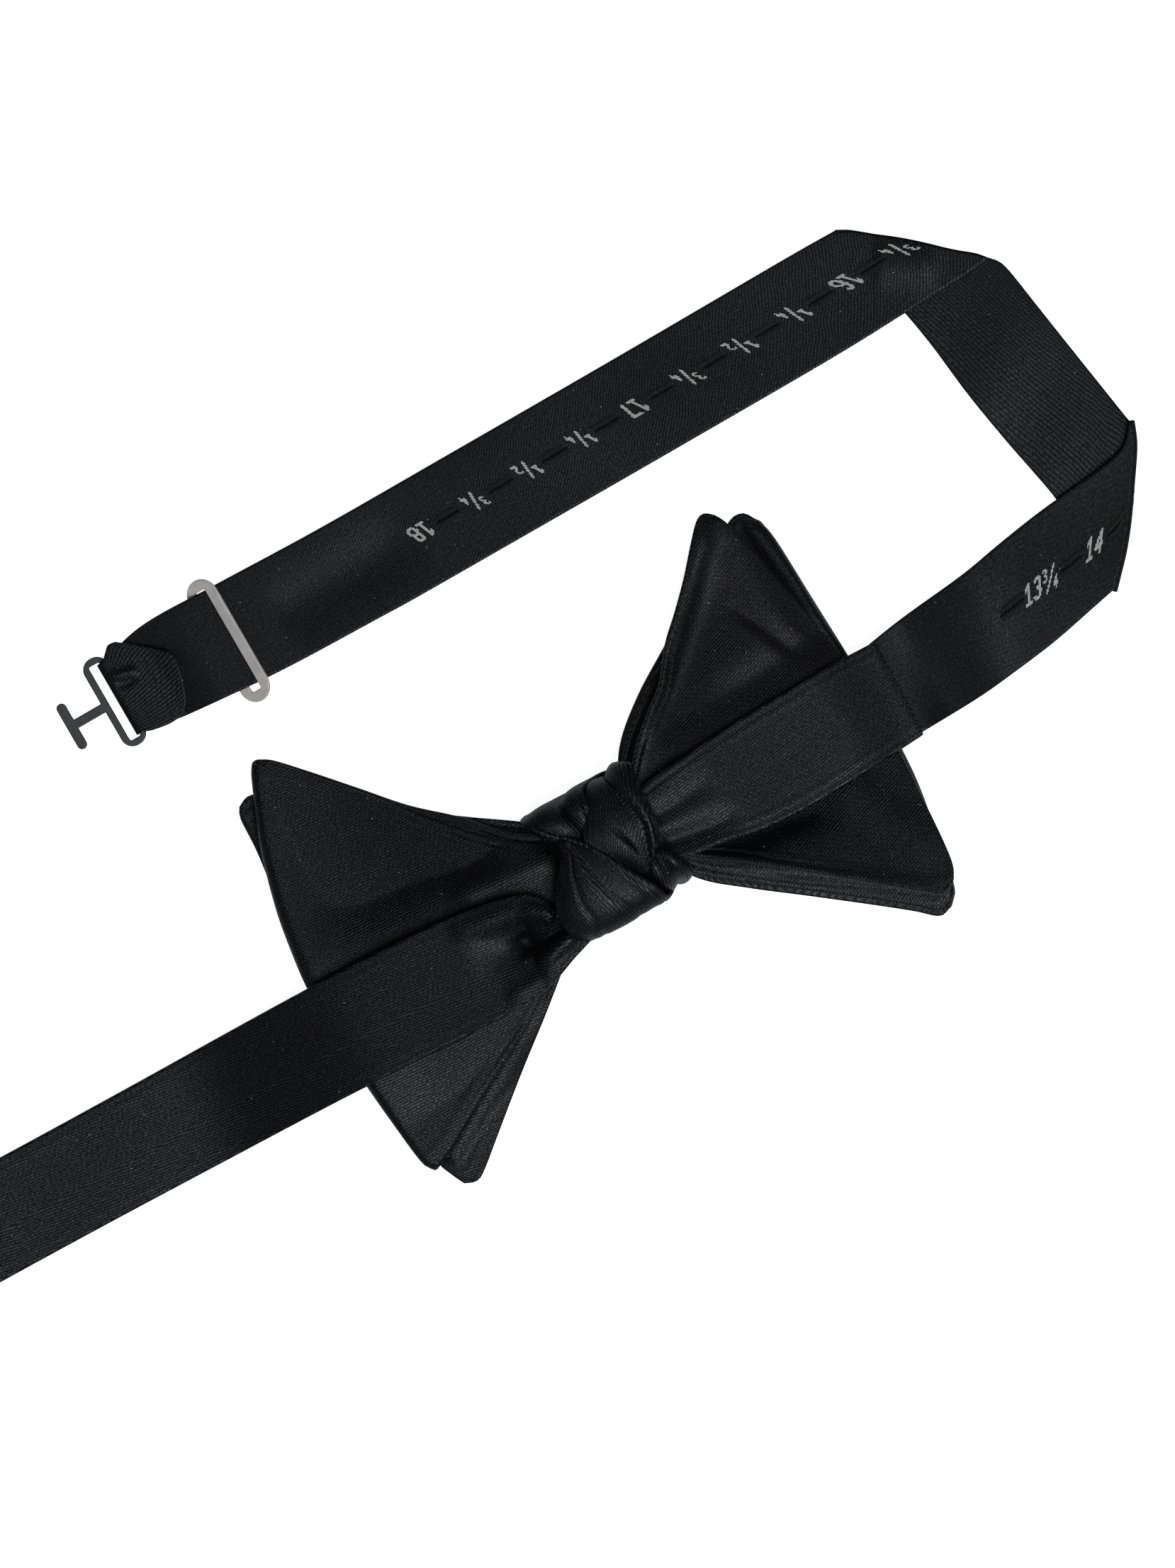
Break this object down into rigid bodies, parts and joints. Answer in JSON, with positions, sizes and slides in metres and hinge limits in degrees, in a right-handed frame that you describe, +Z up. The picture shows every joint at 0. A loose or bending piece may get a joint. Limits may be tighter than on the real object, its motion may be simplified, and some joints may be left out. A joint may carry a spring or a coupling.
{
  "type": "bow tie",
  "caption": "Self-tied butterfly bow tie in lined satin with an adjustable neckband, numbered buttonhole tape, keeper ring and T-hook, lying on its front.",
  "frame": {"origin": "on the table under the middle of the knot, in the front face of the centre wrap", "axes": "+X along the bow and bands towards the sized tape, +Y across the bow towards the tape's returning leg, +Z up off the table, out of the back of the bow"},
  "size_m": [0.3308, 0.137, 0.0211],
  "materials": {
    "black_satin": "silk satin, fine diagonal twill",
    "interlining": "soft wool interlining",
    "woven_tape": "woven ribbon with pale woven numerals",
    "thread": "polyester sewing thread",
    "grey_metal": "matte nickel plate",
    "black_enamel": "matte black enamel"
  },
  "bodies": {
    "cloth": {"buttonhole_edging": "thread", "centre_wrap": "black_satin", "collar_wrap": "black_satin", "corner_wrap": "black_satin", "end_tab_stitches": "thread", "front_blade_back_panel": "black_satin", "front_blade_face_panel": "black_satin", "front_blade_interlining": "interlining", "front_centre_wrap": "black_satin", "front_loop_back_panel": "black_satin", "front_loop_face_panel": "black_satin", "front_loop_interlining": "interlining", "hook_tab_stitches": "thread", "lower_wrap": "black_satin", "pinched_waist": "black_satin", "plain_band_back_panel": "black_satin", "plain_band_face_panel": "black_satin", "plain_band_interlining": "interlining", "rear_blade_back_panel": "black_satin", "rear_blade_face_panel": "black_satin", "rear_blade_interlining": "interlining", "rear_loop_back_panel": "black_satin", "rear_loop_face_panel": "black_satin", "rear_loop_interlining": "interlining", "seam_stitches": "thread", "short_band_back_panel": "black_satin", "short_band_face_panel": "black_satin", "short_band_interlining": "interlining", "sized_tape": "woven_tape", "upper_wrap": "black_satin"},
    "keeper": {"keeper_ring": "grey_metal"},
    "hook": {"t_hook": "black_enamel"},
    "ring": {"end_ring": "grey_metal"}
  },
  "joints": [
    {"name": "keeper_slide", "type": "slide", "parent": "cloth", "child": "keeper", "axis": [1, 0, 0], "range_m": [-0.002, 0.143]},
    {"name": "hook_swing", "type": "hinge", "parent": "cloth", "child": "hook", "pos_m": [-0.07264, 0.07528, 0.00147], "axis": [0, 1, 0], "range_deg": [0, 140]},
    {"name": "end_ring_swing", "type": "hinge", "parent": "cloth", "child": "ring", "pos_m": [-0.1825, -0.0052, 0.00252], "axis": [0, 1, 0], "range_deg": [0, 160]}
  ]
}
